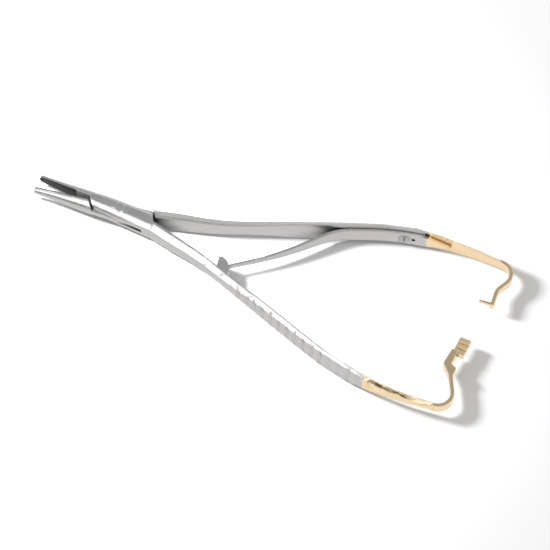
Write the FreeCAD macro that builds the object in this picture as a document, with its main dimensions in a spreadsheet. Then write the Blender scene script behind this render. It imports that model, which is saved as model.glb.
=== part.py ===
"""Surgical needle holder of the Mathieu pattern: box lock, sprung handles and a rear catch.

Frame, in millimetres: the pivot runs along Z through the origin, the box's flat underside is z = 0,
the jaws point towards -X and the handles towards +X. Both arms are drawn closed, with the jaws
meeting on the plane y = 0, and each arm's placement then opens it by half the opening angle.
The box arm carries the +Y jaw and the -Y handle, the tang arm the -Y jaw and the +Y handle.
"""

import FreeCAD, Part
import Sketcher
import math
import os

Vector = FreeCAD.Vector

DIMENSIONS = [
    ("opening_angle", 7.4, "angle between the arms at rest, in degrees"),
    ("jaw_reach", 32.4, "pivot to the jaw tips"),
    ("tip_width", 1.9, "one jaw's thickness at its tip, seen from above"),
    ("tip_height", 2.8, "jaw height at the tip"),
    ("tip_round", 1.3, "round of the jaw's outer corner at the tip"),
    ("jaw_relief", 0.2, "bare steel of a jaw, set back from the meeting plane"),
    ("insert_length", 14.7, "hard insert along the jaw"),
    ("insert_thickness", 0.9, "hard insert, back to gripping face"),
    ("insert_gap", 0.1, "between the two gripping faces when closed"),
    ("braze_gap", 0.02, "brazed joint behind an insert"),
    ("knurl_pitch", 0.9, "between the crossed grooves of a gripping face"),
    ("knurl_depth", 0.12, "crossed grooves of a gripping face"),
    ("box_height", 7.2, "box lock, underside to top"),
    ("box_half_width", 3.5, "box lock, centre plane to one side"),
    ("box_flat", 1.0, "flat top of the box, centre plane to one edge"),
    ("jaw_drop", 0.86, "from a jaw's top to its side crease, as a share of half its height"),
    ("box_drop", 1.5, "from the box top down to its side crease, at the pivot"),
    ("box_back_drop", 0.9, "from the box top down to its side crease, at the box's end"),
    ("box_back", 14.0, "pivot to the end of the box block"),
    ("front_step", 11.8, "pivot to the cheeks' front step, on the centre plane"),
    ("front_slant", 36.0, "slant of the front step across the box, in degrees"),
    ("rear_step", 13.4, "pivot to the cheeks' rear step, on the centre plane"),
    ("rear_slant", 30.0, "slant of the rear step across the box, in degrees"),
    ("step_gap", 0.15, "between a cheek's step and the shoulder behind it, closed"),
    ("slot_height", 1.7, "slot between the cheeks"),
    ("slot_radius", 11.0, "round ends of the slot, about the pivot"),
    ("slide_gap", 0.05, "tang to each cheek"),
    ("turn_gap", 0.25, "tang end to the slot's round end"),
    ("rivet_diameter", 3.2, "pivot rivet"),
    ("rivet_gap", 0.03, "rivet to the tang's bore, on the radius"),
    ("shank_corner", 35.0, "pivot to the shank's bend"),
    ("shank_angle", 10.7, "shank from the centre plane, in degrees"),
    ("crown_corner", 106.0, "pivot to the widest part of the handles"),
    ("handle_angle", 17.5, "handle from the centre plane, in degrees"),
    ("rack_tail_corner", 138.8, "pivot to the rear corner of the arm with the rack"),
    ("hook_tail_corner", 141.0, "pivot to the rear corner of the arm with the hook"),
    ("tail_angle", 9.0, "tail towards the centre plane, in degrees"),
    ("sweep_radius", 90.0, "long curves of the handle"),
    ("bend_radius", 4.4, "inside of the rear bend"),
    ("waist_height", 5.4, "handle height at its waist"),
    ("waist_width", 2.6, "handle thickness at its waist"),
    ("palm_height", 8.6, "handle height at the front of the grip"),
    ("palm_width", 2.0, "handle thickness at the front of the grip"),
    ("grip_height", 9.3, "handle height at the back of the grip"),
    ("grip_flat", 0.4, "flat along the handle's inner edge"),
    ("palm_drop", 0.8, "from the handle top to its outer crease, front of the grip"),
    ("grip_drop", 0.5, "from the handle top to its outer crease, back of the grip"),
    ("tail_drop", 1.5, "from the handle top to its outer crease, half way down the tail"),
    ("strap_height", 3.5, "strap height at the rear bend and legs"),
    ("strap_width", 1.3, "strap thickness at the rear bend and legs"),
    ("strap_drop", 0.4, "shoulder of the strap where the handle ends"),
    ("groove_count", 16, "finger grooves on each handle"),
    ("groove_first", 41.0, "first finger groove, along the inner edge from the box"),
    ("groove_pitch", 3.8, "between finger grooves"),
    ("groove_radius", 1.25, "radius of a finger groove"),
    ("groove_depth", 0.38, "depth of a finger groove"),
    ("horn_reach", 27.6, "box end to the foot of the horn, along X"),
    ("horn_length", 5.2, "horn, along the handle"),
    ("horn_rise", 4.1, "horn, from the handle's inner face to its tip"),
    ("horn_lean", 2.0, "how far the horn leans towards the jaws"),
    ("horn_height", 5.2, "horn along Z"),
    ("leg_slope", 60.0, "slope of both legs after the rear bend, in degrees"),
    ("leg_thinning", 1.4, "how far the hook leg's underside rises towards its end"),
    ("hook_leg_end", 4.3, "end of the hook leg, from the centre plane"),
    ("hook_leg_inset", 5.6, "rear corner to the straight of the hook leg, along X"),
    ("hook_length", 4.0, "hook bar beyond its leg"),
    ("hook_width", 1.2, "hook bar along Y"),
    ("hook_thickness", 0.75, "hook bar along Z"),
    ("jog_level", 6.5, "centre plane to the corner of the rack leg's jog"),
    ("jog_drop", 3.3, "where the strap turns into the jog, above its corner"),
    ("jog_inset", 0.85, "jog corner beyond the rack's side, towards the jaws"),
    ("jog_length", 4.9, "step of the jog along X"),
    ("jog_width", 2.2, "rack leg next to the rack"),
    ("rack_root", 0.6, "centre plane to the root of the rack"),
    ("rack_length", 7.0, "rack along Y"),
    ("rack_width", 4.1, "rack along X"),
    ("rack_thickness", 2.0, "rack from its underside to the tooth crests"),
    ("rack_side_gap", 1.7, "rack to the hook leg when closed"),
    ("catch_gap", 0.25, "tooth crests to the hook bar above them"),
    ("tooth_count", 3, "teeth on the rack"),
    ("tooth_pitch", 2.2, "between tooth crests"),
    ("tooth_depth", 0.5, "crest to root"),
    ("spring_thickness", 1.2, "leaf spring at its butt"),
    ("spring_tip_thickness", 0.7, "leaf spring at its tip"),
    ("spring_butt_width", 5.7, "leaf spring at its butt, along Z"),
    ("spring_tip_width", 1.6, "leaf spring at its tip, along Z"),
    ("spring_lift", 75.3, "pivot to the corner where the leaf leaves the handle"),
    ("spring_knee", 58.6, "pivot to the leaf's second bend"),
    ("spring_lift_angle", 43.5, "first run of the leaf, in degrees"),
    ("spring_tip_angle", 33.0, "last run of the leaf, in degrees"),
    ("spring_tip", 43.7, "pivot to the leaf's tip"),
    ("spring_end", 115.4, "pivot to the end of the spring's tongue"),
    ("spring_seat", 0.02, "spring to the handle's inner face"),
    ("screw_place", 98.7, "pivot to the spring screw"),
    ("screw_head_diameter", 4.0, "spring screw's head"),
    ("screw_head_height", 0.9, "spring screw's domed head"),
    ("screw_sink", 0.35, "screw head let into the spring"),
    ("screw_diameter", 2.4, "spring screw's shank"),
    ("screw_depth", 1.5, "screw shank in the handle"),
    ("screw_slot_width", 0.5, "driver slot"),
    ("screw_slot_depth", 0.45, "driver slot"),
    ("pin_spacing", 3.2, "spring screw to the locating pin"),
    ("pin_diameter", 1.3, "locating pin"),
    ("pin_depth", 1.3, "locating pin in the handle"),
    ("pin_recess", 0.4, "pin end below the spring's face"),
]

doc = FreeCAD.newDocument("NeedleHolder")
sheet = doc.addObject("Spreadsheet::Sheet", "Dims")
for row, (alias, value, note) in enumerate(DIMENSIONS, start=1):
    sheet.set("A%d" % row, note)
    sheet.set("B%d" % row, str(value))
    sheet.setAlias("B%d" % row, alias)
doc.recompute()


def size(alias):
    """One driving dimension from the sheet."""
    return float(sheet.get(alias))


def tan(degrees):
    return math.tan(math.radians(degrees))


# Sketches and features


def new_body(label):
    body = doc.addObject("PartDesign::Body", label)
    body.Label = label
    return body


def new_sketch(body, name, role, base=(0, 0, 0), turn=0.0):
    """A sketch on one of the body's origin planes, moved by base and turned about its own vertical."""
    sketch = body.newObject("Sketcher::SketchObject", name)
    plane = next(item for item in body.Origin.OriginFeatures if item.Role == role)
    sketch.AttachmentSupport = [(plane, "")]
    sketch.MapMode = "FlatFace"
    rotation = FreeCAD.Rotation(Vector(0, 1, 0), turn)
    sketch.AttachmentOffset = FreeCAD.Placement(Vector(*base), rotation)
    return sketch


def draw(sketch, shapes):
    """Adds lines and arcs in order and ties each end to the next start where they meet."""
    base = sketch.GeometryCount
    for shape in shapes:
        sketch.addGeometry(shape, False)
    for i in range(len(shapes)):
        first = base + i
        second = base + (i + 1) % len(shapes)
        for end in (1, 2):
            for start in (1, 2):
                gap = sketch.getPoint(first, end) - sketch.getPoint(second, start)
                if first != second and gap.Length < 1e-6:
                    sketch.addConstraint(Sketcher.Constraint("Coincident", first, end, second, start))


def draw_outline(sketch, points, radii=None):
    """A closed outline through points, with a round at each point that has a radius."""
    draw(sketch, rounded(points, radii or [0] * len(points), True))


def rounded(points, radii, closed):
    """Straight runs through points, joined by tangent arcs of the given radii."""
    count = len(points)
    starts = []
    ends = []
    for i in range(count):
        here = Vector(points[i][0], points[i][1], 0)
        inner = closed or 0 < i < count - 1
        if not inner or radii[i] == 0:
            starts.append(here)
            ends.append(here)
            continue
        before = Vector(points[i - 1][0], points[i - 1][1], 0)
        after = Vector(points[(i + 1) % count][0], points[(i + 1) % count][1], 0)
        back = (before - here).normalize()
        forth = (after - here).normalize()
        half = back.getAngle(forth) / 2
        reach = radii[i] / math.tan(half)
        starts.append(here + back * reach)
        ends.append(here + forth * reach)
    shapes = []
    for i in range(count):
        if (ends[i] - starts[i]).Length > 1e-6:
            here = Vector(points[i][0], points[i][1], 0)
            middle_way = ((starts[i] + ends[i]) * 0.5 - here).normalize()
            half = (starts[i] - here).getAngle(middle_way)
            nearest = radii[i] / math.sin(half) - radii[i]
            shapes.append(Part.Arc(starts[i], here + middle_way * nearest, ends[i]))
        if i + 1 < count or closed:
            following = starts[(i + 1) % count]
            if (following - ends[i]).Length > 1e-6:
                shapes.append(Part.LineSegment(ends[i], following))
    return shapes


def pad(body, sketch, length, name, midplane=True):
    feature = body.newObject("PartDesign::Pad", name)
    feature.Profile = sketch
    feature.SideType = "Symmetric" if midplane else "One side"
    feature.setExpression("Length", length)
    return feature


def cut(body, sketch, name, length=None, midplane=True, reverse=False):
    """A pocket, right through unless it has a length, that must take material away."""
    doc.recompute()
    before = body.Shape.Volume
    feature = body.newObject("PartDesign::Pocket", name)
    feature.Profile = sketch
    feature.SideType = "Symmetric" if midplane else "One side"
    feature.Reversed = reverse
    if length is None:
        feature.Type = "ThroughAll"
    else:
        feature.setExpression("Length", length)
    doc.recompute()
    if body.Shape.Volume >= before - 1e-6:
        raise ValueError("%s takes nothing away" % name)
    return feature


def loft(body, sketches, name):
    """A loft that runs straight from each section to the next."""
    feature = body.newObject("PartDesign::AdditiveLoft", name)
    feature.Profile = sketches[0]
    feature.Sections = sketches[1:]
    feature.Ruled = True
    return feature


def ease(low, high, share):
    """Moves smoothly from low to high while share goes from 0 to 1."""
    return low + (high - low) * (1 - math.cos(math.pi * share)) / 2


def bowed(start, end, centre, rise):
    """An arc from start to end that bows away from centre by rise."""
    middle = (start + end) * 0.5
    across = Vector(start.y - end.y, end.x - start.x, 0).normalize()
    if across.dot(middle - centre) < 0:
        across = across * -1
    return Part.Arc(start, middle + across * rise, end)


# Front block: both jaws and the box in one forging outline

MID = size("box_height") / 2
HALF_OPEN = size("opening_angle") / 2


def jaw_share(place):
    """0 at the jaw tips, 1 where the jaws have reached the full height of the box."""
    reach = size("jaw_reach")
    full = 0.25 * size("front_step")
    return min(1.0, (place + reach) / (reach - full))


def block_half_height(place):
    """Half the front block's height at x = place: nearly straight along the jaws."""
    rise = 1 - (1 - jaw_share(place)) ** 1.25
    return (size("tip_height") + (size("box_height") - size("tip_height")) * rise) / 2


def block_half_width(place):
    """Half the front block's width at x = place."""
    reach = size("jaw_reach")
    share = min(1.0, (place + reach) / (reach - 0.5 * size("front_step")))
    return ease(size("tip_width"), size("box_half_width"), share)


def block_drop(place):
    """From the block's top to its side crease: at mid height on the jaws, rising along the box."""
    step = -size("front_step")
    if place <= step:
        return size("jaw_drop") * block_half_height(place)
    if place <= 0:
        return ease(size("jaw_drop") * block_half_height(step), size("box_drop"), 1 - place / step)
    return ease(size("box_drop"), size("box_back_drop"), place / size("box_back"))


def shoulder_rise(across, drop):
    """Sagitta of a shoulder arc that leaves the flatter of its two neighbours without a crease."""
    slope = math.atan2(drop, across)
    return math.hypot(across, drop) / 2 * math.tan(min(slope, math.pi / 2 - slope) / 2)


def barrel_section(body, name, place):
    """Full section of the front block at x = place."""
    width = block_half_width(place)
    half = block_half_height(place)
    flat = size("box_flat") * width / size("box_half_width")
    drop = block_drop(place)
    sketch = new_sketch(body, name, "YZ_Plane", (0, MID, place))
    corners = [Vector(-flat, half, 0), Vector(flat, half, 0), Vector(width, half - drop, 0),
               Vector(width, drop - half, 0), Vector(flat, -half, 0), Vector(-flat, -half, 0),
               Vector(-width, drop - half, 0), Vector(-width, half - drop, 0)]
    shoulder = 0.9 * shoulder_rise(width - flat, drop)
    side = 0.1 * (half - drop)
    rises = [0, shoulder, side, shoulder, 0, shoulder, side, shoulder]
    shapes = []
    for i in range(8):
        start = corners[i]
        end = corners[(i + 1) % 8]
        if rises[i] == 0:
            shapes.append(Part.LineSegment(start, end))
        else:
            shapes.append(bowed(start, end, Vector(0, 0, 0), rises[i]))
    draw(sketch, shapes)
    return sketch


def add_front_block(body):
    """Jaws and box, from the tips to the end of the box."""
    reach = size("jaw_reach")
    step = size("front_step")
    back = size("box_back")
    places = [-reach, step * -2.2, step * -1.6, -step, step * -0.6, step * -0.25, back * 0.2, back]
    sketches = []
    for i, place in enumerate(places):
        sketches.append(barrel_section(body, "BlockSection%d" % i, place))
    loft(body, sketches, "FrontBlock")


def add_tip_round(body):
    """Rounds the block's front corners in plan and from the side."""
    reach = size("jaw_reach")
    turn = size("tip_round")
    for name, role, edge in (("TipPlan", "XY_Plane", block_half_width(turn - reach)),
                             ("TipSide", "XZ_Plane", block_half_height(turn - reach))):
        far = edge + 1
        rise = MID if role == "XZ_Plane" else 0
        sketch = new_sketch(body, name, role)
        for sign in (-1, 1):
            corner = Vector(-reach, rise + sign * (edge - turn), 0)
            along = Vector(-reach + turn, rise + sign * edge, 0)
            outer = Vector(-reach - 1, rise + sign * (edge - turn), 0)
            top = Vector(-reach - 1, rise + sign * far, 0)
            back = Vector(-reach + turn, rise + sign * far, 0)
            middle = Vector(-reach + turn * (1 - math.sqrt(0.5)),
                            rise + sign * (edge - turn * (1 - math.sqrt(0.5))), 0)
            first = sketch.GeometryCount
            sketch.addGeometry([Part.Arc(corner, middle, along), Part.LineSegment(along, back),
                                Part.LineSegment(back, top), Part.LineSegment(top, outer),
                                Part.LineSegment(outer, corner)], False)
            for k in range(first + 1, first + 4):
                sketch.addConstraint(Sketcher.Constraint("Coincident", k, 2, k + 1, 1))
        cut(body, sketch, name + "Cut")


# Handle: a faceted bar swept along its inner edge

TAIL_SHARE = 0.74
SIDE_BOW = 0.1


def handle_points(side):
    """Corners of the handle's inner edge in plan, from the box to the rear corner."""
    shank = size("jaw_relief") / 2 + (size("shank_corner") - size("box_back")) * tan(size("shank_angle"))
    crown = shank + (size("crown_corner") - size("shank_corner")) * tan(size("handle_angle"))
    corner = size("hook_tail_corner") if side > 0 else size("rack_tail_corner")
    tail = crown - (corner - size("crown_corner")) * tan(size("tail_angle"))
    return [(size("box_back"), side * size("jaw_relief") / 2), (size("shank_corner"), side * shank),
            (size("crown_corner"), side * crown), (corner, side * tail)]


def handle_edges(side):
    """Inner edge in plan as far as the rear corner, with its long curves."""
    radii = [0, size("sweep_radius"), size("sweep_radius"), 0]
    return [shape.toShape() for shape in rounded(handle_points(side), radii, False)]


def point_along(edges, distance):
    """Point and direction at a distance along a chain of edges."""
    for edge in edges:
        if distance <= edge.Length:
            place = edge.getParameterByLength(distance)
            return edge.valueAt(place), edge.tangentAt(place)
        distance -= edge.Length
    raise ValueError("the handle is shorter than %.1f" % distance)


def point_over(edges, reach):
    """Point and direction where a chain of edges passes x = reach."""
    low = 0.0
    high = sum(edge.Length for edge in edges)
    while high - low > 1e-7:
        middle = (low + high) / 2
        if point_along(edges, middle)[0].x < reach:
            low = middle
        else:
            high = middle
    return point_along(edges, low)


def handle_sizes(share):
    """Height, thickness, flat and drop at a share of the way from the box to the rear bend."""
    flat = size("grip_flat")
    box = (size("box_height"), size("box_half_width"), size("box_flat"), size("box_back_drop"))
    waist = (size("waist_height"), size("waist_width"), flat, size("palm_drop"))
    palm = (size("palm_height"), size("palm_width"), flat, size("palm_drop"))
    grip = (size("grip_height"), size("strap_width"), flat, size("grip_drop"))
    tail = ((size("grip_height") + size("strap_height")) / 2, size("strap_width"), flat, size("tail_drop"))
    strap = (size("strap_height"), size("strap_width"), flat, size("strap_drop"))
    stops = [(0.0, box), (0.26, waist), (0.46, palm), (TAIL_SHARE, grip), (0.87, tail), (1.0, strap)]
    for (low, first), (high, second) in zip(stops, stops[1:]):
        if share <= high:
            part = (share - low) / (high - low)
            if low < TAIL_SHARE:
                return [ease(a, b, part) for a, b in zip(first, second)]
            return [a + (b - a) * part for a, b in zip(first, second)]
    return strap


def strap_start(edges):
    """Length along the inner edge at which the rear bend begins."""
    inside = size("leg_slope") + size("tail_angle")
    return sum(edge.Length for edge in edges) - size("bend_radius") / tan(inside / 2)


def handle_width(share):
    return handle_sizes(share)[1]


def add_handle(body, side):
    """Handle from the box to the rear bend, on the +Y or -Y side, with a true inner face."""
    edges = handle_edges(side)
    length = strap_start(edges)
    spare = 0.3
    sketches = []
    shares = [0, 0.07, 0.14, 0.20, 0.26, 0.32, 0.39, 0.46, 0.55, 0.64, TAIL_SHARE, 0.81, 0.87, 0.93, 1.0]
    for i, share in enumerate(shares):
        point, along = point_along(edges, share * length)
        turn = math.degrees(math.atan2(along.y, along.x)) if i else 0
        height, width, flat, drop = handle_sizes(share)
        half = height / 2
        sketch = new_sketch(body, "HandleSection%d" % i, "YZ_Plane", (point.y, MID, point.x), turn)
        corners = [Vector(-side * spare, half, 0), Vector(side * flat, half, 0),
                   Vector(side * width, half - drop, 0), Vector(side * width, drop - half, 0),
                   Vector(side * flat, -half, 0), Vector(-side * spare, -half, 0)]
        shapes = [Part.LineSegment(corners[k], corners[(k + 1) % 6]) for k in range(6)]
        shapes[2] = bowed(corners[2], corners[3], Vector(0, 0, 0), SIDE_BOW * width)
        draw(sketch, shapes)
        sketches.append(sketch)
    loft(body, sketches, "Handle")
    trim = new_sketch(body, "InnerFace", "XY_Plane")
    points = handle_points(side)
    inside = -side * 2
    corners = points + [(points[-1][0], inside), (points[0][0], inside)]
    radii = [0, size("sweep_radius"), size("sweep_radius"), 0, 0, 0]
    draw_outline(trim, corners, radii)
    cut(body, trim, "InnerFaceCut")


def add_finger_grooves(body, side):
    """Cross grooves on the handle's outer face, evenly spaced along it."""
    edges = handle_edges(side)
    length = strap_start(edges)
    radius = size("groove_radius")
    sketch = new_sketch(body, "Grooves", "XY_Plane")
    for i in range(int(size("groove_count"))):
        distance = size("groove_first") + i * size("groove_pitch")
        point, along = point_along(edges, distance)
        outward = Vector(-along.y, along.x, 0) * side
        reach = handle_width(distance / length) * (1 + SIDE_BOW) + radius - size("groove_depth")
        sketch.addGeometry(Part.Circle(point + outward * reach, Vector(0, 0, 1), radius), False)
        sketch.addConstraint(Sketcher.Constraint("Radius", i, radius))
        sketch.setExpression("Constraints[%d]" % i, "Dims.groove_radius")
    cut(body, sketch, "GroovesCut")


# Box lock: the arms' shapes where one passes through the other


def front_line(gap):
    """The front step, from the centre plane to beyond the box's -Y side, moved forward by gap."""
    slant = size("front_slant")
    shift = gap / math.cos(math.radians(slant))
    wide = size("box_half_width") + 1.5
    inner = (-size("front_step") - shift, 0.0)
    outer = (-size("front_step") - shift + wide * tan(slant), -wide)
    return inner, outer


def rear_line(gap):
    """The rear step, from the centre plane to beyond the box's +Y side, moved back by gap."""
    slant = size("rear_slant")
    shift = gap / math.cos(math.radians(slant))
    wide = size("box_half_width") + 1.5
    inner = (size("rear_step") + shift, 0.0)
    outer = (size("rear_step") + shift - wide * tan(slant), wide)
    return inner, outer


def slide(line, height):
    """The point of a slanted step line at y = height."""
    (x0, y0), (x1, y1) = line
    return (x0 + (x1 - x0) * (height - y0) / (y1 - y0), height)


def draw_round_corner(sketch, radius, sign, level):
    """The quarter beyond an arc about the pivot: sign 1 is the front +Y one, -1 the rear -Y one."""
    wide = size("box_half_width") + 1.5
    near = Vector(-sign * math.sqrt(radius ** 2 - level ** 2), sign * level, 0)
    far = Vector(-sign * math.sqrt(radius ** 2 - wide ** 2), sign * wide, 0)
    half = (math.asin(level / radius) + math.asin(wide / radius)) / 2
    middle = Vector(-sign * radius * math.cos(half), sign * radius * math.sin(half), 0)
    ends = -sign * (size("jaw_reach") + 2) if sign > 0 else size("box_back")
    top = Vector(ends, sign * wide, 0)
    low = Vector(ends, sign * level, 0)
    draw(sketch, [Part.Arc(near, middle, far), Part.LineSegment(far, top),
                  Part.LineSegment(top, low), Part.LineSegment(low, near)])


def cut_box_arm(body):
    """Takes away the other arm's jaw and handle root, then the slot between the cheeks."""
    relief = size("jaw_relief")
    wide = size("box_half_width") + 1.5
    ends = -size("jaw_reach") - 2
    sketch = new_sketch(body, "FrontStep", "XY_Plane")
    line = front_line(0)
    draw_outline(sketch, [slide(line, relief), slide(line, -wide), (ends, -wide), (ends, relief)])
    cut(body, sketch, "FrontStepCut")
    sketch = new_sketch(body, "RearStep", "XY_Plane")
    line = rear_line(0)
    level = -relief / 2
    back = size("box_back")
    draw_outline(sketch, [slide(line, level), slide(line, wide), (back, wide), (back, level)])
    cut(body, sketch, "RearStepCut")
    radius = size("slot_radius")
    front = Vector(-math.sqrt(radius ** 2 - relief ** 2), relief, 0)
    front_far = Vector(-math.sqrt(radius ** 2 - wide ** 2), wide, 0)
    half = (math.asin(relief / radius) + math.asin(wide / radius)) / 2
    front_middle = Vector(-radius * math.cos(half), radius * math.sin(half), 0)
    before = -size("front_step") - 1
    corners = [Vector(back, wide, 0), front * -1, front_far * -1,
               Vector(before, -wide, 0), Vector(before, relief, 0)]
    beyond = Vector(back, -relief, 0)
    sketch = new_sketch(body, "Slot", "XY_Plane", (0, 0, MID))
    draw(sketch, [Part.Arc(front, front_middle, front_far), Part.LineSegment(front_far, corners[0]),
                  Part.LineSegment(corners[0], beyond), Part.LineSegment(beyond, corners[1]),
                  Part.Arc(corners[1], front_middle * -1, corners[2]),
                  Part.LineSegment(corners[2], corners[3]), Part.LineSegment(corners[3], corners[4]),
                  Part.LineSegment(corners[4], front)])
    cut(body, sketch, "SlotCut", "Dims.slot_height")


def cut_tang_arm(body):
    """Takes away the other arm's jaw and handle root, then thins the middle to the tang."""
    relief = size("jaw_relief")
    radius = size("slot_radius") - size("turn_gap")
    for sign, name in ((1, "FrontCorner"), (-1, "RearCorner")):
        sketch = new_sketch(body, name, "XY_Plane")
        level = -relief if sign > 0 else -relief / 2
        draw_round_corner(sketch, radius, sign, level)
        cut(body, sketch, name + "Cut")
    wide = size("box_half_width") + 1.5
    gap = size("step_gap")
    front = front_line(gap)
    rear = rear_line(gap)
    corners = [slide(front, wide), slide(front, -wide), slide(rear, -wide), slide(rear, wide)]
    thin = size("slot_height") / 2 - size("slide_gap")
    for sign, name in ((1, "TopShoulder"), (-1, "LowShoulder")):
        sketch = new_sketch(body, name, "XY_Plane", (0, 0, MID + sign * thin))
        draw_outline(sketch, corners)
        cut(body, sketch, name + "Cut", midplane=False, reverse=sign > 0)


def cut_bore(body, name, diameter):
    """Bore for the rivet, right through the box."""
    sketch = new_sketch(body, name, "XY_Plane")
    sketch.addGeometry(Part.Circle(Vector(0, 0, 0), Vector(0, 0, 1), 1.0), False)
    sketch.addConstraint(Sketcher.Constraint("Coincident", 0, 3, -1, 1))
    sketch.addConstraint(Sketcher.Constraint("Diameter", 0, 2.0))
    sketch.setExpression("Constraints[1]", diameter)
    cut(body, sketch, name + "Cut")


def cut_insert_seat(body, side):
    """Step in the jaw's inner face that an insert is brazed into."""
    back = size("insert_length") + size("braze_gap") - size("jaw_reach")
    deep = side * (size("insert_gap") / 2 + size("insert_thickness") + size("braze_gap"))
    ends = -size("jaw_reach") - 1
    sketch = new_sketch(body, "InsertSeat", "XY_Plane")
    draw_outline(sketch, [(ends, -side), (back, -side), (back, deep), (ends, deep)])
    cut(body, sketch, "InsertSeatCut")


# Rear legs: the strap round the bend, then a rack on one arm and a hook on the other


def offset_corner(before, corner, after, width):
    """A corner of the way before, corner, after, moved out to its left by width."""
    first = Vector(corner[0] - before[0], corner[1] - before[1], 0).normalize()
    second = Vector(after[0] - corner[0], after[1] - corner[1], 0).normalize()
    out = Vector(-first.y - second.y, first.x + second.x, 0).normalize()
    scale = width / out.dot(Vector(-first.y, first.x, 0))
    return (corner[0] + out.x * scale, corner[1] + out.y * scale)


def strap_way(side):
    """Inner edge of the strap from inside the handle to its rear corner, as on the +Y side."""
    edges = handle_edges(side)
    start = point_along(edges, strap_start(edges) - 1.0)[0]
    corner = handle_points(side)[-1]
    return (start.x, abs(start.y)), (corner[0], abs(corner[1]))


def strap_outside(start, corner):
    """Outer edge of the strap where it starts inside the handle."""
    along = Vector(corner[0] - start[0], corner[1] - start[1], 0).normalize()
    width = size("strap_width")
    return (start[0] - along.y * width, start[1] + along.x * width)


def hook_leg_line():
    """The x of the inner face of the hook leg's straight end."""
    return size("hook_tail_corner") - size("hook_leg_inset")


def add_hook_leg(body):
    """Leg of the tang arm, ending in the bar that passes over the rack."""
    width = size("strap_width")
    turn = size("bend_radius")
    start, corner = strap_way(1)
    line = hook_leg_line()
    knee = (line, corner[1] - size("hook_leg_inset") * tan(size("leg_slope")))
    end = (line, size("hook_leg_end"))
    sketch = new_sketch(body, "HookLeg", "XY_Plane", (0, 0, MID))
    points = [start, corner, knee, end, (line + width, end[1]), offset_corner(corner, knee, end, width),
              offset_corner(start, corner, knee, width), strap_outside(start, corner)]
    draw_outline(sketch, points, [0, turn, turn, 0, 0, turn - width, turn + width, 0])
    pad(body, sketch, "Dims.strap_height", "HookLegPad")
    low = MID - size("strap_height") / 2
    taper = new_sketch(body, "LegTaper", "YZ_Plane", (0, 0, size("crown_corner") + turn))
    under = [(end[1] - 1, low - 1), (end[1] - 1, low + size("leg_thinning")),
             (end[1], low + size("leg_thinning")), (corner[1] - turn, low), (corner[1] - turn, low - 1)]
    draw_outline(taper, under)
    cut(body, taper, "LegTaperCut", "Dims.hook_tail_corner - Dims.crown_corner", midplane=False, reverse=True)
    thick = size("hook_thickness")
    level = MID + size("strap_height") / 2 - thick / 2
    sketch = new_sketch(body, "HookBar", "XY_Plane", (0, 0, level))
    tip = line - size("hook_length")
    low = size("hook_leg_end")
    high = low + size("hook_width")
    draw_outline(sketch, [(tip, low + 0.2), (line + width / 2, low), (line + width / 2, high),
                          (tip, high - 0.2)], [0.2, 0, 0, 0.2])
    pad(body, sketch, "Dims.hook_thickness", "HookBarPad")


def rack_right():
    """The x of the rack's long side next to the hook leg."""
    return hook_leg_line() - size("rack_side_gap")


def add_rack_leg(body):
    """Leg of the box arm: the strap, a jog towards the jaws and the toothed rack."""
    width = size("strap_width")
    turn = size("bend_radius")
    start, corner = strap_way(-1)
    knee_level = size("jog_level") + size("jog_drop")
    knee = (corner[0] - (corner[1] - knee_level) / tan(size("leg_slope")), knee_level)
    jog = (rack_right() - size("rack_width") - size("jog_inset"), size("jog_level"))
    foot = rack_right() - size("rack_width") - 0.4
    root = size("rack_root")
    step = (jog[0] + size("jog_length"), jog[1])
    notch = (foot + size("jog_width"), jog[1] - 0.8)
    hip = (knee[0] + 1.2 * width, knee[1])
    outline = [start, corner, knee, jog, (foot, root - 0.5), (foot + size("jog_width"), root - 0.5),
               notch, step, hip, offset_corner(start, corner, knee, width),
               strap_outside(start, corner)]
    radii = [0, turn, 1.0, 0.4, 0, 0, 0.4, 0.3, 1.5, turn + width, 0]
    sketch = new_sketch(body, "RackLeg", "XY_Plane", (0, 0, MID))
    draw_outline(sketch, [(x, -y) for x, y in outline], radii)
    pad(body, sketch, "Dims.strap_height", "RackLegPad")
    right = rack_right()
    left = right - size("rack_width")
    tip = size("rack_length") - root
    crest = MID + size("strap_height") / 2 - size("hook_thickness") - size("catch_gap")
    low = crest - size("rack_thickness")
    sketch = new_sketch(body, "Rack", "XY_Plane", (0, 0, low))
    draw_outline(sketch, [(left, -root), (right, -root), (right, tip), (left, tip)], [0, 0.3, 0.3, 0.3])
    pad(body, sketch, "Dims.rack_thickness", "RackPad", midplane=False)
    root_level = crest - size("tooth_depth")
    back = tip - size("tooth_pitch")
    sketch = new_sketch(body, "Tooth", "YZ_Plane", (0, 0, (left + right) / 2))
    draw_outline(sketch, [(back, crest + 0.01), (tip + 0.01, crest + 0.01), (tip + 0.01, root_level)])
    tooth = cut(body, sketch, "ToothCut", "Dims.rack_width + 1")
    teeth = body.newObject("PartDesign::LinearPattern", "Teeth")
    teeth.Originals = [tooth]
    teeth.Direction = (sketch, ["H_Axis"])
    teeth.Reversed = True
    teeth.setExpression("Length", "Dims.tooth_pitch * (Dims.tooth_count - 1)")
    teeth.setExpression("Occurrences", "Dims.tooth_count")
    body.Tip = teeth


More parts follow.
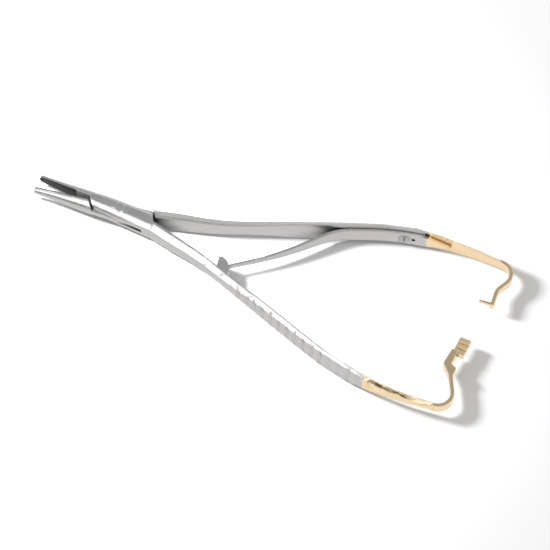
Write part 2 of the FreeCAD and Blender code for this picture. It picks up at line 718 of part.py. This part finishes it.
def add_horn(body):
    """The stop for the spring's tip: a lip that leans from the inner face towards the jaws."""
    edges = handle_edges(-1)
    foot, along = point_over(edges, size("box_back") + size("horn_reach"))
    inward = Vector(-along.y, along.x, 0)
    long = size("horn_length")
    rise = size("horn_rise")
    lean = size("horn_lean")
    corners = [(0, -0.8), (0, 0), (-lean, 0.8 * rise), (0.6 - lean, rise), (0.45 * long - lean / 2, rise),
               (0.85 * long, 0.45 * rise), (long, 0), (long, -0.8)]
    points = [foot + along * a + inward * b for a, b in corners]
    sketch = new_sketch(body, "Horn", "XY_Plane", (0, 0, MID))
    draw_outline(sketch, [(p.x, p.y) for p in points], [0, 0, 0.3, 0.3, 1.8, 2.5, 0, 0])
    pad(body, sketch, "Dims.horn_height", "HornPad")


# Leaf spring and what holds it


def add_spring_leaf(body):
    """Leaf cut to plan along the tang arm's inner face, then cut to its tapering side view."""
    butt = size("spring_thickness")
    tip = size("spring_tip_thickness")
    seat = size("spring_seat")
    shank = handle_points(1)[1]
    crown = handle_points(1)[2]
    end = handle_points(1)[3]
    lift_y = shank[1] + (size("spring_lift") - shank[0]) * tan(size("handle_angle"))
    lift = (size("spring_lift"), lift_y)
    knee = (size("spring_knee"), lift_y - (lift[0] - size("spring_knee")) * tan(size("spring_lift_angle")))
    point = (size("spring_tip"), knee[1] - (knee[0] - size("spring_tip")) * tan(size("spring_tip_angle")))
    before = (2 * point[0] - knee[0], 2 * point[1] - knee[1])
    way = [before, point, knee, lift, crown, end, (2 * end[0] - crown[0], 2 * end[1] - crown[1])]
    thick = [tip, 0.5 * (tip + butt), butt, butt, butt]
    outer = [offset_corner(way[i], way[i + 1], way[i + 2], -seat) for i in range(5)]
    inner = [offset_corner(way[i], way[i + 1], way[i + 2], -seat - thick[i]) for i in range(5)]
    knee_turn = 110.0
    lift_turn = 22.0
    sweep = size("sweep_radius") - seat
    radii = [0, knee_turn, lift_turn, sweep, 0, 0, sweep - butt, lift_turn - butt, knee_turn + thick[1], 0]
    sketch = new_sketch(body, "LeafPlan", "XY_Plane", (0, 0, MID))
    draw_outline(sketch, outer + inner[::-1], radii)
    pad(body, sketch, "Dims.spring_butt_width", "LeafPad")
    wide = size("spring_butt_width") / 2
    narrow = size("spring_tip_width") / 2
    tail = size("spring_end")
    far = end[0] + 2
    out = wide + 1
    sketch = new_sketch(body, "LeafSide", "XZ_Plane", (0, MID, 0))
    draw_outline(sketch, [(0, -out), (far, -out), (far, out), (0, out)])
    upper = [(point[0] - 2, narrow), (point[0] + 11, narrow + 0.3), (lift[0] + 5, wide),
             (tail - 9, wide), (tail, 0.4)]
    lower = [(x, -z) for x, z in upper[::-1]]
    draw_outline(sketch, upper + lower, [0, 30, 30, 12, 0.4, 0.4, 12, 30, 30, 0])
    cut(body, sketch, "LeafSideCut")


def seat_place(reach, depth=0.0):
    """Point on the tang arm's inner face over x = reach, moved off it by depth, and the face's turn."""
    point, along = point_over(handle_edges(1), reach)
    inward = Vector(along.y, -along.x, 0)
    return point + inward * depth, math.degrees(math.atan2(along.y, along.x))


def cut_round(body, name, reach, top, diameter, length):
    """A round hole square to the tang arm's inner face: length deep below a level top above it."""
    clear = 0.5
    place, turn = seat_place(reach, top + clear)
    sketch = new_sketch(body, name, "XZ_Plane", (place.x, MID, -place.y), turn)
    sketch.addGeometry(Part.Circle(Vector(0, 0, 0), Vector(0, 0, 1), 1.0), False)
    sketch.addConstraint(Sketcher.Constraint("Coincident", 0, 3, -1, 1))
    sketch.addConstraint(Sketcher.Constraint("Diameter", 0, 2.0))
    sketch.setExpression("Constraints[1]", diameter)
    cut(body, sketch, name + "Cut", "%s + %g" % (length, clear), midplane=False)


def pin_place():
    return size("screw_place") + size("pin_spacing")


def turned_piece(label, reach, profile):
    """A turned piece standing square on the tang arm's inner face; profile is (radius, height)."""
    body = new_body(label)
    sketch = new_sketch(body, "Profile", "XZ_Plane")
    draw(sketch, profile)
    turn = body.newObject("PartDesign::Revolution", "Turned")
    turn.Profile = sketch
    turn.ReferenceAxis = (sketch, ["V_Axis"])
    turn.Angle = 360.0
    place, angle = seat_place(reach)
    stand = FreeCAD.Rotation(Vector(0, 0, 1), angle).multiply(FreeCAD.Rotation(Vector(1, 0, 0), 90))
    body.Placement = FreeCAD.Placement(Vector(place.x, place.y, MID), stand)
    return body


def line(a, b):
    return Part.LineSegment(Vector(a[0], a[1], 0), Vector(b[0], b[1], 0))


def build_screw():
    face = size("spring_seat") + size("spring_thickness")
    shank = size("screw_diameter") / 2
    head = size("screw_head_diameter") / 2
    under = face - size("screw_sink")
    top = under + size("screw_head_height")
    rim = under + 0.45 * size("screw_head_height")
    bottom = -size("screw_depth")
    crown = (head ** 2 + (top - rim) ** 2) / (2 * (top - rim))
    half_way = math.asin(head / crown) / 2
    middle = Vector(crown * math.sin(half_way), top - crown * (1 - math.cos(half_way)), 0)
    dome = Part.Arc(Vector(head, rim, 0), middle, Vector(0, top, 0))
    profile = [line((0, bottom), (shank, bottom)), line((shank, bottom), (shank, under)),
               line((shank, under), (head, under)), line((head, under), (head, rim)), dome,
               line((0, top), (0, bottom))]
    body = turned_piece("spring_screw", size("screw_place"), profile)
    clear = 0.5
    sketch = new_sketch(body, "DriverSlot", "XZ_Plane")
    half = size("screw_slot_width") / 2
    floor = top - size("screw_slot_depth")
    draw_outline(sketch, [(-half, floor), (half, floor), (half, top + clear), (-half, top + clear)])
    cut(body, sketch, "DriverSlotCut")
    return body


def build_pin():
    radius = size("pin_diameter") / 2
    top = size("spring_seat") + size("spring_thickness") - size("pin_recess")
    bottom = -size("pin_depth")
    profile = [line((0, bottom), (radius, bottom)), line((radius, bottom), (radius, top)),
               line((radius, top), (0, top)), line((0, top), (0, bottom))]
    return turned_piece("spring_pin", pin_place(), profile)


def build_spring():
    body = new_body("leaf_spring")
    add_spring_leaf(body)
    face = size("spring_seat") + size("spring_thickness")
    cut_round(body, "ScrewHead", size("screw_place"), face, "Dims.screw_head_diameter + 0.1",
              "Dims.screw_sink")
    cut_round(body, "ScrewHole", size("screw_place"), face, "Dims.screw_diameter + 0.1",
              "2 * Dims.spring_thickness")
    cut_round(body, "PinHole", pin_place(), face, "Dims.pin_diameter", "2 * Dims.spring_thickness")
    return body


# Arms, inserts and rivet


def build_box_arm():
    body = new_body("box_arm")
    add_front_block(body)
    add_tip_round(body)
    add_handle(body, -1)
    cut_box_arm(body)
    cut_insert_seat(body, 1)
    cut_bore(body, "RivetBore", "Dims.rivet_diameter")
    add_horn(body)
    add_rack_leg(body)
    add_finger_grooves(body, -1)
    return body


def build_tang_arm():
    body = new_body("tang_arm")
    add_front_block(body)
    add_tip_round(body)
    add_handle(body, 1)
    cut_tang_arm(body)
    cut_insert_seat(body, -1)
    cut_bore(body, "TangBore", "Dims.rivet_diameter + 2 * Dims.rivet_gap")
    add_hook_leg(body)
    add_finger_grooves(body, 1)
    cut_round(body, "ScrewHole", size("screw_place"), 0.0, "Dims.screw_diameter", "Dims.screw_depth")
    cut_round(body, "PinHole", pin_place(), 0.0, "Dims.pin_diameter", "Dims.pin_depth")
    return body


def build_insert(label, side):
    """Hard metal jaw face: the jaw's own outline, kept to a thin slab and cross-cut."""
    body = new_body(label)
    add_front_block(body)
    add_tip_round(body)
    face = side * size("insert_gap") / 2
    deep = face + side * size("insert_thickness")
    back = size("insert_length") - size("jaw_reach")
    ends = -size("jaw_reach") - 1
    wide = side * (size("box_half_width") + 2)
    far = size("box_back") + 1
    sketch = new_sketch(body, "Behind", "XY_Plane")
    draw_outline(sketch, [(ends, deep), (back, deep), (back, face), (far, face), (far, wide), (ends, wide)])
    cut(body, sketch, "BehindCut")
    sketch = new_sketch(body, "OtherSide", "XY_Plane")
    draw_outline(sketch, [(ends, face), (far, face), (far, -wide), (ends, -wide)])
    cut(body, sketch, "OtherSideCut")
    pitch = size("knurl_pitch")
    depth = size("knurl_depth")
    first = back + 0.4 * size("tip_height")
    count = int((size("insert_length") + size("tip_height")) / pitch)
    for slant in (-45, 45):
        sketch = new_sketch(body, "Groove", "XY_Plane", (first, 0, MID), slant)
        draw_outline(sketch, [(-depth, face - side * 0.01), (depth, face - side * 0.01),
                              (0, face + side * depth)])
        groove = cut(body, sketch, "GrooveCut")
        pattern = body.newObject("PartDesign::LinearPattern", "Grooves")
        pattern.Originals = [groove]
        axis = next(item for item in body.Origin.OriginFeatures if item.Role == "X_Axis")
        pattern.Direction = (axis, [""])
        pattern.Reversed = True
        pattern.Length = pitch * (count - 1)
        pattern.Occurrences = count
        body.Tip = pattern
        doc.recompute()
    return body


def build_rivet():
    body = new_body("pivot_rivet")
    sketch = new_sketch(body, "Round", "XY_Plane", (0, 0, MID))
    sketch.addGeometry(Part.Circle(Vector(0, 0, 0), Vector(0, 0, 1), 1.0), False)
    sketch.addConstraint(Sketcher.Constraint("Coincident", 0, 3, -1, 1))
    sketch.addConstraint(Sketcher.Constraint("Diameter", 0, 2.0))
    sketch.setExpression("Constraints[1]", "Dims.rivet_diameter")
    pad(body, sketch, "Dims.box_height", "RivetPad")
    return body


box_arm = build_box_arm()
box_insert = build_insert("box_arm_insert", 1)
rivet = build_rivet()
tang_arm = build_tang_arm()
tang_insert = build_insert("tang_arm_insert", -1)
spring = build_spring()
screw = build_screw()
pin = build_pin()

opened = ((-1, [box_arm, box_insert, rivet]), (1, [tang_arm, tang_insert, spring, screw, pin]))
for sign, bodies in opened:
    swing = FreeCAD.Placement(Vector(0, 0, 0), FreeCAD.Rotation(Vector(0, 0, 1), sign * HALF_OPEN))
    for body in bodies:
        body.Placement = swing.multiply(body.Placement)

doc.recompute()

for item in doc.Objects:
    if "Invalid" in item.State or "Error" in item.State:
        raise ValueError("%s (%s) failed: %s" % (item.Label, item.TypeId, item.State))

os.makedirs("parts", exist_ok=True)
for body in [item for item in doc.Objects if item.TypeId == "PartDesign::Body"]:
    shape = body.Shape
    if shape.isNull() or not shape.isValid():
        raise ValueError("%s has no valid shape" % body.Label)
    shape.exportStep("parts/%s.step" % body.Label)
    print("%-16s solids %d, volume %8.2f mm3" % (body.Label, len(shape.Solids), shape.Volume))
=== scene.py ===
import bpy
import math
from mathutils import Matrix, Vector


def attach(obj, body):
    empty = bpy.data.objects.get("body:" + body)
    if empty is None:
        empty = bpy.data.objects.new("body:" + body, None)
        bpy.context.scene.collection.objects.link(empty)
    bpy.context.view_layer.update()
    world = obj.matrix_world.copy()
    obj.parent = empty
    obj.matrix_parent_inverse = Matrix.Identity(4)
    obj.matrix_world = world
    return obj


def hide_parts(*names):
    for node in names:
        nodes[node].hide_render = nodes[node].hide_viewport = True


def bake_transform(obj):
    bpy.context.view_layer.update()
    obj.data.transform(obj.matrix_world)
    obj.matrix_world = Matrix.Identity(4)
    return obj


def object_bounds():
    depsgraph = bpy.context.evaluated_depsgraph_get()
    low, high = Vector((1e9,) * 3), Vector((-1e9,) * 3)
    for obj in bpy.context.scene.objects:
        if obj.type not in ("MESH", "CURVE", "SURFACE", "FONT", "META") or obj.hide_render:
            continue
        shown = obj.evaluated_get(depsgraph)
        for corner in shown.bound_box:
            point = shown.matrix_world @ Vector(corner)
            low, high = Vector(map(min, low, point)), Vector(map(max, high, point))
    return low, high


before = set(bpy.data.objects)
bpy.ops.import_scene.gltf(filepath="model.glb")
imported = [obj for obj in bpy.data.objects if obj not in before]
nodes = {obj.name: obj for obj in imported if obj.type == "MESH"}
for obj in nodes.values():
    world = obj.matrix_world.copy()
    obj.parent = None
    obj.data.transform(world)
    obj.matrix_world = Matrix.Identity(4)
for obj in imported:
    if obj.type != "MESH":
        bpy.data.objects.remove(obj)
cad_low, cad_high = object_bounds()

# Camera: a long lens that looks down at the open instrument from the side of the handle
# with the horn, as in the photograph.
stands_at = Vector((0.26181, -0.48998, 0.84901))
looks_at = Vector((0.05986, -0.00077, -0.00045))
bpy.ops.object.select_all(action="DESELECT")
bpy.ops.object.camera_add(location=stands_at)
camera = bpy.context.object
camera.name = "photo_camera"
camera.rotation_euler = (looks_at - stands_at).to_track_quat("-Z", "Y").to_euler()
camera.data.lens = 186.3
camera.data.sensor_width = 36.0
camera.data.clip_start = 0.05
camera.data.clip_end = 20.0
bpy.context.scene.camera = camera

# Table: a plain sheet of white paper that the instrument lies on. It keeps the soft grey shadows
# near the instrument, is close to pure white further off, and is evenly white in the metal's mirror.
table_size = 6.0
table_middle = (0.06, 0.0)
gap_under_part = 0.00004
shadows_end = 0.12
white_begins = 0.30
glow_near = 0.06
glow_far = 0.60
paper_white = (0.93, 0.93, 0.93, 1)
mirrored_white = 0.95


def add_node(tree, kind, **settings):
    """A node in a node tree, with its settings."""
    node = tree.nodes.new(kind)
    for name, value in settings.items():
        setattr(node, name, value)
    return node


def feed(tree, socket, value):
    """Gives a socket a value of its own, or the output of another node."""
    if isinstance(value, bpy.types.NodeSocket):
        tree.links.new(value, socket)
    else:
        socket.default_value = value


def sum_of(tree, operation, first, second=0.0):
    """The result of one sum on two values."""
    node = add_node(tree, "ShaderNodeMath", operation=operation)
    feed(tree, node.inputs[0], first)
    feed(tree, node.inputs[1], second)
    return node.outputs[0]


def ranged(tree, value, start, end, at_start, at_end, soft=False):
    """A value that goes from at_start to at_end while another goes from start to end."""
    node = add_node(tree, "ShaderNodeMapRange")
    if soft:
        node.interpolation_type = "SMOOTHSTEP"
    feed(tree, node.inputs["Value"], value)
    node.inputs["From Min"].default_value = start
    node.inputs["From Max"].default_value = end
    node.inputs["To Min"].default_value = at_start
    node.inputs["To Max"].default_value = at_end
    return node.outputs[0]


table_level = cad_low[2] - gap_under_part
bpy.ops.mesh.primitive_plane_add(size=table_size, location=(*table_middle, table_level))
table = bpy.context.object
table.name = "table"
paper = bpy.data.materials.new("white_paper")
paper.use_nodes = True
paper_tree = paper.node_tree
paper_shader = paper_tree.nodes["Principled BSDF"]
paper_shader.inputs["Base Color"].default_value = paper_white
paper_shader.inputs["Roughness"].default_value = 0.9
paper_shader.inputs["Specular IOR Level"].default_value = 0.0
paper_shader.inputs["Emission Color"].default_value = (1, 1, 1, 1)
paper_path = add_node(paper_tree, "ShaderNodeLightPath")
paper_place = add_node(paper_tree, "ShaderNodeTexCoord")
paper_span = add_node(paper_tree, "ShaderNodeVectorMath", operation="LENGTH")
feed(paper_tree, paper_span.inputs[0], paper_place.outputs["Object"])
glow = ranged(
    paper_tree, paper_span.outputs["Value"], shadows_end, white_begins, glow_near, glow_far, soft=True
)
glow_seen = sum_of(paper_tree, "MULTIPLY", paper_path.outputs["Is Camera Ray"], glow)
feed(paper_tree, paper_shader.inputs["Emission Strength"], glow_seen)
even_white = add_node(paper_tree, "ShaderNodeEmission")
even_white.inputs["Color"].default_value = (1.0, 0.99, 0.985, 1)
even_white.inputs["Strength"].default_value = mirrored_white
either = add_node(paper_tree, "ShaderNodeMixShader")
feed(paper_tree, either.inputs[0], paper_path.outputs["Is Glossy Ray"])
feed(paper_tree, either.inputs[1], paper_shader.outputs[0])
feed(paper_tree, either.inputs[2], even_white.outputs[0])
feed(paper_tree, paper_tree.nodes["Material Output"].inputs["Surface"], either.outputs[0])
table.data.materials.append(paper)

# Lamp: a small soft box, low down and close by at the jaws' end, which throws the long shadows
# to the rear. The metal doesn't mirror it.
lamp_at = Vector((-0.088, -0.020, 0.138))
lamp_aims_at = Vector((0.25, 0.0, 0.03))
lamp_side = 0.05
bpy.ops.object.light_add(type="AREA", location=lamp_at)
lamp = bpy.context.object
lamp.name = "key_light"
lamp.rotation_euler = (lamp_aims_at - lamp_at).to_track_quat("-Z", "Y").to_euler()
lamp.data.shape = "RECTANGLE"
lamp.data.size = lamp_side
lamp.data.size_y = lamp_side
lamp.data.energy = 0.90
lamp.visible_glossy = False

# Room: plain and pale all round. The metal mirrors a darker ceiling behind the instrument, a
# bright window over its front left, and a dark line along the front at the height of the table.
room_light = 0.50
room_behind = 1.0
ceiling_at = (-0.30, 0.55, 0.78)
ceiling_rim = 36
ceiling_core = 12
ceiling_grey = 0.40
walls_grey = 0.90
window_at = (-0.40, -0.42, 0.81)
window_rim = 34
window_core = 16
window_light = 1.5
line_height = 0.12
line_half = 0.14
line_fades_by = 0.34
line_darkness = 0.92
front_begins = -0.25
front_full = -0.6
world = bpy.data.worlds.new("pale_room")
bpy.context.scene.world = world
world.use_nodes = True
room_tree = world.node_tree
room = room_tree.nodes["Background"]
room.inputs["Strength"].default_value = 1.0
way = add_node(room_tree, "ShaderNodeTexCoord").outputs["Generated"]


def room_patch(centre, wide, narrow, outside, inside):
    """A patch of the room about a direction, between two angles from it in degrees."""
    near = add_node(room_tree, "ShaderNodeVectorMath", operation="DOT_PRODUCT")
    near.inputs[1].default_value = Vector(centre).normalized()
    feed(room_tree, near.inputs[0], way)
    rim = math.cos(math.radians(wide))
    core = math.cos(math.radians(narrow))
    return ranged(room_tree, near.outputs["Value"], rim, core, outside, inside, soft=True)


def either_value(tree, share, first, second):
    """One value at a share of 0 and another at a share of 1."""
    node = add_node(tree, "ShaderNodeMix")
    feed(tree, node.inputs[0], share)
    feed(tree, node.inputs[2], first)
    feed(tree, node.inputs[3], second)
    return node.outputs[0]


ceiling = room_patch(ceiling_at, ceiling_rim, ceiling_core, walls_grey, ceiling_grey)
window = room_patch(window_at, window_rim, window_core, 0.0, window_light)
heading = add_node(room_tree, "ShaderNodeSeparateXYZ")
feed(room_tree, heading.inputs[0], way)
front = ranged(room_tree, heading.outputs["Y"], front_begins, front_full, 0.0, 1.0)
above_line = sum_of(room_tree, "SUBTRACT", heading.outputs["Z"], line_height)
off_line = sum_of(room_tree, "ABSOLUTE", above_line)
line = ranged(room_tree, off_line, line_half, line_fades_by, line_darkness, 0.0, soft=True)
unshaded = sum_of(room_tree, "SUBTRACT", 1.0, sum_of(room_tree, "MULTIPLY", line, front))
mirrored = sum_of(room_tree, "MULTIPLY", sum_of(room_tree, "ADD", ceiling, window), unshaded)
room_path = add_node(room_tree, "ShaderNodeLightPath")
seen = either_value(room_tree, room_path.outputs["Is Glossy Ray"], room_light, mirrored)
seen = either_value(room_tree, room_path.outputs["Is Camera Ray"], seen, room_behind)
feed(room_tree, room.inputs["Color"], seen)
bpy.context.scene.view_settings.view_transform = "Standard"

# Arm with the box: one forging in stainless steel, with a jaw, the box, the near handle with its
# finger grooves, the horn and the rack. It is blasted to a satin and gold-plated at the rear.
steel_colour = (0.618, 0.612, 0.605, 1)
gold_colour = (0.97, 0.76, 0.48, 1)
gold_begins = 0.105
gold_edge = 0.0002
same_point = 0.000002
strip_length = 0.0022
crease_angle = math.radians(13)
belt_scale = (60, 1500, 1500)
smudge_scale = 260.0
bead_scale = 5200.0
wear_spread = (0.3, 0.7)
satin_roughness = (0.29, 0.40)
gold_roughness = (0.15, 0.23)
tone_spread = (0.95, 1.04)
# Painted shade: how far the grooves and the deep corner behind the box are darkened by occlusion, and
# how dark they get.
groove_reach = 0.0009
groove_spread = (0.55, 0.95)
groove_shade_darkest = 0.55
corner_reach = 0.008
corner_spread = (0.15, 0.55)
corner_shade_darkest = 0.10
edge_radius = 0.00035
grain_depth = 0.00002
grain_strength = 0.12


def merged_copy(node, name):
    """A merged copy of a solid, cut in short strips, smooth where its faces run on."""
    bpy.ops.object.select_all(action="DESELECT")
    bpy.context.view_layer.objects.active = nodes[node]
    nodes[node].select_set(True)
    bpy.ops.object.duplicate()
    piece = bpy.context.object
    place = piece.matrix_world.copy()
    piece.parent = None
    piece.matrix_world = place
    bpy.ops.object.transform_apply(location=True, rotation=True, scale=True)
    piece.name = name
    bpy.ops.object.mode_set(mode="EDIT")
    bpy.ops.mesh.select_all(action="SELECT")
    bpy.ops.mesh.remove_doubles(threshold=same_point)
    front_end = min(corner[0] for corner in piece.bound_box) + strip_length / 2
    length = max(corner[0] for corner in piece.bound_box) - front_end
    for cut in range(int(length / strip_length)):
        bpy.ops.mesh.select_all(action="SELECT")
        bpy.ops.mesh.bisect(plane_co=(front_end + strip_length * cut, 0, 0), plane_no=(1, 0, 0))
    bpy.ops.object.mode_set(mode="OBJECT")
    bpy.ops.object.shade_smooth_by_angle(angle=crease_angle)
    bpy.ops.object.modifier_add(type="WEIGHTED_NORMAL")
    piece.modifiers[0].keep_sharp = True
    bpy.ops.object.modifier_apply(modifier=piece.modifiers[0].name)
    piece.data.materials.clear()
    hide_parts(node)
    return piece


def either_colour(tree, share, first, second, way_of_mixing="MIX"):
    """One colour at a share of 0, and at a share of 1 another or the product of both."""
    node = add_node(tree, "ShaderNodeMix", data_type="RGBA", blend_type=way_of_mixing)
    feed(tree, node.inputs[0], share)
    feed(tree, node.inputs[6], first)
    feed(tree, node.inputs[7], second)
    return node.outputs[2]


def noise(tree, place, scale, detail):
    """A cloudy pattern between 0 and 1."""
    node = add_node(tree, "ShaderNodeTexNoise")
    feed(tree, node.inputs["Vector"], place)
    node.inputs["Scale"].default_value = scale
    node.inputs["Detail"].default_value = detail
    return node.outputs["Fac"]


def openness(tree, reach):
    """How open a point is, from 0 in a tight corner to 1 on a free face."""
    node = add_node(tree, "ShaderNodeAmbientOcclusion", samples=8)
    node.inputs["Distance"].default_value = reach
    return node.outputs["AO"]


def metal(name, plated, base):
    """Satin metal of a base colour, with gold plating behind a line where plated is true."""
    material = bpy.data.materials.new(name)
    material.use_nodes = True
    tree = material.node_tree
    shader = tree.nodes["Principled BSDF"]
    shader.inputs["Metallic"].default_value = 1.0
    place = add_node(tree, "ShaderNodeTexCoord").outputs["Object"]
    # Fine lines of the polishing belt run along the instrument, under smudges from handling.
    along = add_node(tree, "ShaderNodeMapping")
    along.inputs["Scale"].default_value = belt_scale
    feed(tree, along.inputs["Vector"], place)
    belt_lines = noise(tree, along.outputs[0], 1.0, 4.0)
    smudges = noise(tree, place, smudge_scale, 3.0)
    beads = noise(tree, place, bead_scale, 2.0)
    wear = sum_of(tree, "MULTIPLY", sum_of(tree, "ADD", belt_lines, smudges), 0.5)
    roughness = ranged(tree, wear, *wear_spread, *satin_roughness)
    tone = ranged(tree, wear, *wear_spread, *tone_spread)
    # Painted shade: the colour darkens in grooves and corners by how closed in they are. It is light
    # in the grooves and strong in the deep corner behind the box, where it stands in for the dark
    # metal mirrored there.
    painted_groove_shade = ranged(tree, openness(tree, groove_reach), *groove_spread, groove_shade_darkest, 1.0)
    painted_corner_shade = ranged(tree, openness(tree, corner_reach), *corner_spread, corner_shade_darkest, 1.0)
    tone_and_painted_shade = sum_of(tree, "MULTIPLY", sum_of(tree, "MULTIPLY", tone, painted_groove_shade), painted_corner_shade)
    colour = base
    if plated:
        along_arm = add_node(tree, "ShaderNodeSeparateXYZ")
        feed(tree, along_arm.inputs[0], place)
        plating = ranged(
            tree, along_arm.outputs["X"], gold_begins - gold_edge, gold_begins + gold_edge, 0.0, 1.0
        )
        colour = either_colour(tree, plating, base, gold_colour)
        polish = ranged(tree, smudges, 0.0, 1.0, *gold_roughness)
        roughness = either_value(tree, plating, roughness, polish)
    shaded = either_colour(tree, 1.0, colour, tone_and_painted_shade, "MULTIPLY")
    feed(tree, shader.inputs["Base Color"], shaded)
    feed(tree, shader.inputs["Roughness"], roughness)
    # The edges are broken on the belt, and beads leave a fine grain.
    broken_edge = add_node(tree, "ShaderNodeBevel", samples=6)
    broken_edge.inputs["Radius"].default_value = edge_radius
    grain = add_node(tree, "ShaderNodeBump")
    grain.inputs["Strength"].default_value = grain_strength
    grain.inputs["Distance"].default_value = grain_depth
    feed(tree, grain.inputs["Height"], beads)
    feed(tree, grain.inputs["Normal"], broken_edge.outputs[0])
    feed(tree, shader.inputs["Normal"], grain.outputs[0])
    return material


satin_and_gold = metal("satin_steel_gold_rear", True, steel_colour)
box_arm = merged_copy("box_arm", "box_arm_forging")
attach(box_arm, "arm_with_box")
box_arm.data.materials.append(satin_and_gold)

# Arm with the tang: the other forging, which passes through the slot in the box and carries
# the other jaw, the far handle and the hook. It has the same satin and the same gold rear.
tang_arm = merged_copy("tang_arm", "tang_arm_forging")
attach(tang_arm, "arm_with_tang")
tang_arm.data.materials.append(satin_and_gold)

# Rivet: a steel pin pressed into the box, on which the tang turns. Its ends are ground flat, so
# that only a faint ring shows.
nodes["pivot_rivet"].data.materials.clear()
nodes["pivot_rivet"].data.materials.append(metal("satin_steel_plain", False, steel_colour))

# Inserts: strips of hard metal brazed into both jaws and ground flush with them. The gripping faces
# are painted near-black, as painted shade of their crossed grooves, and the rest is as bright as the
# jaws.
half_opening = math.radians(3.7)
dark_to = 0.00022
bright_from = 0.00032
ground_roughness = 0.38
ground_colour = (0.55, 0.555, 0.565, 1)
# Painted shade of the crossed grooves on the gripping faces.
grip_painted_shade_colour = (0.085, 0.085, 0.088, 1)
hard = bpy.data.materials.new("hard_metal")
hard.use_nodes = True
hard_tree = hard.node_tree
hard_shader = hard_tree.nodes["Principled BSDF"]
hard_shader.inputs["Metallic"].default_value = 1.0
hard_shader.inputs["Roughness"].default_value = ground_roughness
hard_place = add_node(hard_tree, "ShaderNodeSeparateXYZ")
feed(hard_tree, hard_place.inputs[0], add_node(hard_tree, "ShaderNodeTexCoord").outputs["Object"])
off_middle = sum_of(hard_tree, "ABSOLUTE", hard_place.outputs["Y"])
face_there = sum_of(hard_tree, "MULTIPLY", hard_place.outputs["X"], math.sin(half_opening))
depth = sum_of(hard_tree, "ADD", off_middle, face_there)
# The painted shade covers the gripping faces and fades out just past them.
grip_painted_shade_mask = ranged(hard_tree, depth, bright_from, dark_to, 0.0, 1.0)
hard_colour = either_colour(hard_tree, grip_painted_shade_mask, ground_colour, grip_painted_shade_colour)
feed(hard_tree, hard_shader.inputs["Base Color"], hard_colour)
for node, body in (("box_arm_insert", "arm_with_box"), ("tang_arm_insert", "arm_with_tang")):
    insert = merged_copy(node, node + "_ground")
    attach(insert, body)
    insert.data.materials.append(hard)

# Leaf spring: a tapered leaf of spring steel with a gold tongue at the rear. It is screwed to the
# far handle, and its tip bears on the horn.
leaf = merged_copy("leaf_spring", "leaf_spring_ground")
leaf.data.materials.append(satin_and_gold)
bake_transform(leaf)

# Screw and pin: a domed screw with a driver slot clamps the leaf to the handle, and a small
# pin behind it keeps the leaf in line. The pin is painted near-black, as painted shade of the hole it
# sits in.
screw_colour = (0.50, 0.50, 0.51, 1)
# Painted shade: the pin's near-black colour stands in for the shade of its hole.
pin_painted_shade = (0.07, 0.065, 0.06, 1)
for name, finish in (
    ("spring_screw", metal("screw_steel", False, screw_colour)),
    ("spring_pin", metal("pin_painted_hole_shade", False, pin_painted_shade)),
):
    nodes[name].data.materials.clear()
    nodes[name].data.materials.append(finish)
